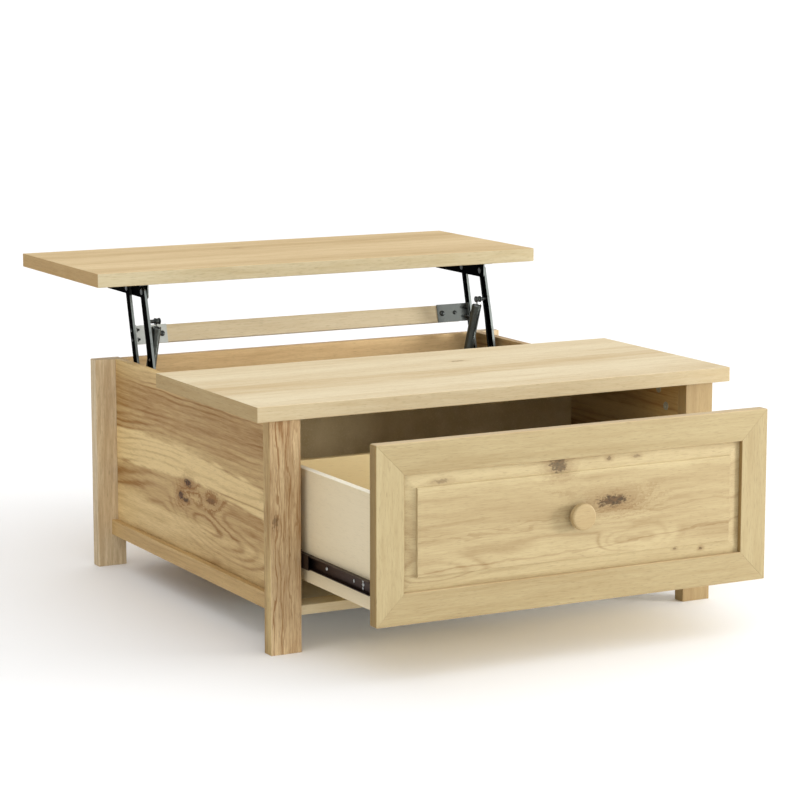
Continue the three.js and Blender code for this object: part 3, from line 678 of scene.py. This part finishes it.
NUT_HEIGHT = 0.0032
NUT = spun([(0.0045, 0), (0.0050, 0.0004), (0.0050, 0.0026), (0.0043, NUT_HEIGHT)], 6)
STOP_STUD = spun([(0.0030, 0), (0.0030, 0.0004), (0.0022, 0.0012), (0.0010, 0.0015)])
CAM_COVER = spun([
    (0.0074, 0), (0.0075, 0.0002), (0.0075, 0.0007), (0.0070, 0.0010), (0.0030, 0.0010),
    (0.0026, 0.0004),
])
LUG_STRETCH = 1.9
LUG = spun([(0.0014, 0), (0.0016, 0.0002), (0.0016, 0.0010), (0.0012, 0.0013)], 16)
LUG = ([(x, y * LUG_STRETCH, z) for x, y, z in LUG[0]], LUG[1])

ARM_LEAN = math.radians(14.5)
UP = Vector((0, math.sin(ARM_LEAN), math.cos(ARM_LEAN)))  # along the raised arms
BACK = Vector((0, math.cos(ARM_LEAN), -math.sin(ARM_LEAN)))  # towards their rear edge

REAR_PIVOT = table(718.7, 312.4)
SPRING_STUD = table(742, 300)
ARM_STOP = table(668, 397)
PLATE_WALL = 0.3525  # inner face of the bar plates' flanges, from the middle of the table
BASE_FACE = 0.3718  # inner face of the bases' side flanges, likewise
PANEL_FACE = 0.3743  # just inside the side panels' inner faces
STAND_OFF = 0.0001  # keeps heads and studs just clear of the face they stand on
NUT_GAP = 0.0002  # likewise for the nuts
BAR_ALONG = 0.1246  # middle of the bar plates, up the rear arms from their lower pivots
PLATE_FRONT = 0.0039  # front face of the bar plates, from the arms' middle line
SHELF_MIDDLE = 0.0085  # middle of the top brackets' shelves, from their outer edge
SHELF_THICK = 0.0023  # with the stand-off
RAIL_WEB = 0.0017  # face of the drawer rails' webs, from the drawer's sides

SPRING_WIRE = 0.0023
SPRING_RADIUS = 0.0083
SPRING_TURNS = 62
SHANK = 0.013  # from the coil's ends to the stud and the pin
SHANK_BEND = (0.0012, 0.002)  # where the shank leaves the coil: aside, and along
HOOK_WIRE = 0.0022
HOOK_RADIUS = 0.0044
HOOK_OPENING = math.radians(35)  # half of it
HOOK_STEPS = 22


def coil(foot, head):
    """The close-wound coil of a spring, from foot to head."""
    axis = (head - foot).normalized()
    side = Vector((1, 0, 0))
    other = axis.cross(side)
    steps = 14
    count = SPRING_TURNS * steps
    path = []
    for i in range(count + 1):
        angle = 2 * math.pi * i / steps
        centre = foot.lerp(head, i / count)
        path.append(centre + SPRING_RADIUS * (math.cos(angle) * side + math.sin(angle) * other))
    return wire(path, SPRING_WIRE / 2, 6)


def hook(start, pin, side, turn):
    """A straight shank from the coil's end that closes round a pin."""
    ahead = (pin - start).normalized()
    across = ahead.cross(Vector((1, 0, 0)))
    aside, along = SHANK_BEND
    path = [start + Vector((side * aside, 0, 0)), start + ahead * along]
    for i in range(HOOK_STEPS):
        angle = HOOK_OPENING + 2 * (math.pi - HOOK_OPENING) * i / (HOOK_STEPS - 1)
        spot = -ahead * math.cos(angle) + turn * across * math.sin(angle)
        path.append(pin + HOOK_RADIUS * spot)
    return wire(path, HOOK_WIRE / 2, 8)


def make_spring(name, side):
    """A close-wound spring with a hook at each end, one round the stud and one round the pin."""
    stud = SPRING_STUD.copy()
    pin = middle(f"spring_spool_{name}")
    stud.x = pin.x = middle(f"spring_coil_{name}").x
    axis = (pin - stud).normalized()
    foot, head = stud + axis * SHANK, pin - axis * SHANK
    spring = build(f"spring_wire_{name}", *coil(foot, head), "spring_steel", None, smooth=60)
    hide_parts(f"spring_coil_{name}")
    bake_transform(spring)
    upper = build(
        f"spring_hook_wire_{name}", *hook(head, pin, side, 1), "spring_steel", "spring_hooks",
        smooth=60,
    )
    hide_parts(f"spring_hook_{name}")
    build(
        f"spring_foot_wire_{name}", *hook(foot, stud, side, -1), "spring_steel", "springs",
        smooth=60,
    )


def make_bar_bolts(name, side):
    """Bolts with nuts that hold the bar plate to the rear arm, and the plate's own screws."""
    inward = Vector((-side, 0, 0))
    arm_face = side * (outside(f"rear_arm_{name}") + STAND_OFF)
    for i, along in enumerate((0.1156, 0.1336)):
        spot = REAR_PIVOT + UP * along
        spot.x = side * (PLATE_WALL - NUT_GAP)
        put(f"bar_nut_{name}_{i}", NUT, "pin_steel", "rear_arms", spot, inward)
        tip = spot + inward * NUT_HEIGHT
        put(f"bar_bolt_{name}_{i}", BOLT_TIP, "pin_steel", "rear_arms", tip, inward)
        spot.x = arm_face
        put(f"bar_bolt_head_{name}_{i}", SMALL_SCREW, "pin_steel", "rear_arms", spot, -inward)
    for i, (x, head) in enumerate(((0.298, WIDE_SCREW), (0.326, SCREW))):
        spot = REAR_PIVOT + UP * BAR_ALONG + BACK * PLATE_FRONT
        spot.x = side * x
        put(f"plate_screw_{name}_{i}", head, "pin_steel", "rear_arms", spot, -BACK)


def make_base_screws(name, side):
    """Screws of the mechanism's base, through its side flange."""
    for i, (y, z) in enumerate(((642, 337), (688, 337), (736, 337), (665, 290))):
        spot = table(y, z)
        spot.x = side * BASE_FACE
        put(f"base_screw_{name}_{i}", SMALL_SCREW, "pin_steel", "case", spot, (-side, 0, 0))


def make_bracket_screws(name, side):
    """Screws of the top bracket, upwards through its shelf."""
    low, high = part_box(f"top_bracket_{name}")
    x = side * (outside(f"top_bracket_{name}") - SHELF_MIDDLE)
    for i, share in enumerate((0.08, 0.42, 0.92)):
        spot = (x, low.y + (high.y - low.y) * share, high.z - SHELF_THICK)
        put(f"bracket_screw_{name}_{i}", SMALL_SCREW, "pin_steel", "lift_top", spot, (0, 0, -1))


def make_arm_stop(name, side):
    spot = ARM_STOP.copy()
    spot.x = side * (outside(f"rear_arm_{name}") + STAND_OFF)
    put(f"arm_stop_{name}", STOP_STUD, "pin_steel", "front_arms", spot, (side, 0, 0))


def make_slide_screws(name, side):
    """Screws of the drawer rail into the drawer's side, and its lugs, inside its channel."""
    x = side * (outside(f"drawer_side_{name}") + RAIL_WEB)
    z = middle(f"slide_drawer_rail_{name}").z
    out = (side, 0, 0)
    for i, y in enumerate((-0.058, -0.186)):
        put(f"rail_screw_{name}_{i}", SMALL_SCREW, "zinc", "drawer", (x, at(y), z), out)
    for i, (y, up) in enumerate(((-0.155, 0.0), (-0.186, 0.0062), (-0.186, -0.0062))):
        put(f"rail_lug_{name}_{i}", LUG, "zinc", "drawer", (x, at(y), z + up), out)


def make_cam_covers(name, side):
    """Round covers of the cams that lock the top and the panels, on the side panel."""
    for i, (y, z) in enumerate(((0.075, 0.342), (0.099, 0.370))):
        spot = (side * PANEL_FACE, at(y), z)
        put(f"cam_{name}_{i}", CAM_COVER, "plate_zinc", "case", spot, (-side, 0, 0))


for name, side in SIDES:
    make_spring(name, side)
    make_bar_bolts(name, side)
    make_base_screws(name, side)
    make_bracket_screws(name, side)
    make_arm_stop(name, side)
    make_slide_screws(name, side)
    make_cam_covers(name, side)


# ---------------------------------------------------------------- light and camera
def area_light(name, where, towards, size, power, colour=(1.0, 1.0, 1.0)):
    data = bpy.data.lights.new(name, "AREA")
    data.shape = "RECTANGLE"
    data.size, data.size_y = size
    data.energy = power
    data.color = colour
    light = bpy.data.objects.new(name, data)
    light.location = where
    light.rotation_mode = "QUATERNION"
    light.rotation_quaternion = (Vector(towards) - Vector(where)).to_track_quat("-Z", "Y")
    bpy.context.scene.collection.objects.link(light)


FLOOR_REACH = 14.0
WORLD_LEVEL = 1.27
FLAG_WAY = (-0.75, 0.66, 0.0)
FLAG_EDGE = (0.35, 0.80)
FLAG_LEVEL = 0.10
KEY_PLACE = (4.3, -3.2, 0.9)
KEY_TARGET = (0, 0, 0.25)
KEY_SIZE = (1.3, 1.0)
KEY_POWER = 170
KEY_COLOUR = (1.0, 0.985, 0.96)
OVERHEAD_PLACE = (0, 0, 7.0)
OVERHEAD_SIZE = (14.0, 14.0)
OVERHEAD_POWER = 40
CAMERA_PLACE = (-2.3137, -4.3578, 1.1491)
CAMERA_DOWN = 9.374
CAMERA_TURN = -28.11
LENS = 124.6


def make_stage():
    mesh = bpy.data.meshes.new("floor")
    corners = ((-1, -1), (1, -1), (1, 1), (-1, 1))
    verts = [(x * FLOOR_REACH, y * FLOOR_REACH, 0) for x, y in corners]
    mesh.from_pydata(verts, [], [(0, 1, 2, 3)])
    floor = bpy.data.objects.new("floor", mesh)
    bpy.context.scene.collection.objects.link(floor)
    material, _, shader = new_material("floor")
    shader.inputs["Base Color"].default_value = (0.95, 0.95, 0.95, 1)
    shader.inputs["Roughness"].default_value = 0.95
    shader.inputs["Specular IOR Level"].default_value = 0.1
    mesh.materials.append(material)

    # White all round. A flag behind to the left gives little light, but the camera sees it white.
    world = bpy.data.worlds.new("studio")
    world.use_nodes = True
    t = Tree(world.node_tree)
    way = t.vector("NORMALIZE", t.node("TexCoord").outputs["Generated"])
    towards_flag = t.vector("DOT_PRODUCT", way, FLAG_WAY)
    level = t.span(towards_flag, *FLAG_EDGE, WORLD_LEVEL, FLAG_LEVEL)
    backdrop = t.math("MULTIPLY", t.node("LightPath").outputs["Is Camera Ray"], WORLD_LEVEL)
    level = t.math("MAXIMUM", level, backdrop)
    t.feed(world.node_tree.nodes["Background"].inputs[1], level)
    world.node_tree.nodes["Background"].inputs[0].default_value = (1.0, 1.0, 1.0, 1)
    bpy.context.scene.world = world

    area_light("key", KEY_PLACE, KEY_TARGET, KEY_SIZE, KEY_POWER, KEY_COLOUR)
    area_light("overhead", OVERHEAD_PLACE, (0, 0, 0), OVERHEAD_SIZE, OVERHEAD_POWER)


def make_camera():
    data = bpy.data.cameras.new("camera")
    data.sensor_width = 36.0
    data.lens = LENS
    camera = bpy.data.objects.new("camera", data)
    camera.location = CAMERA_PLACE
    camera.rotation_euler = (math.radians(90 - CAMERA_DOWN), 0, math.radians(CAMERA_TURN))
    bpy.context.scene.collection.objects.link(camera)
    bpy.context.scene.camera = camera


bpy.context.scene.view_settings.view_transform = "Standard"
make_stage()
make_camera()
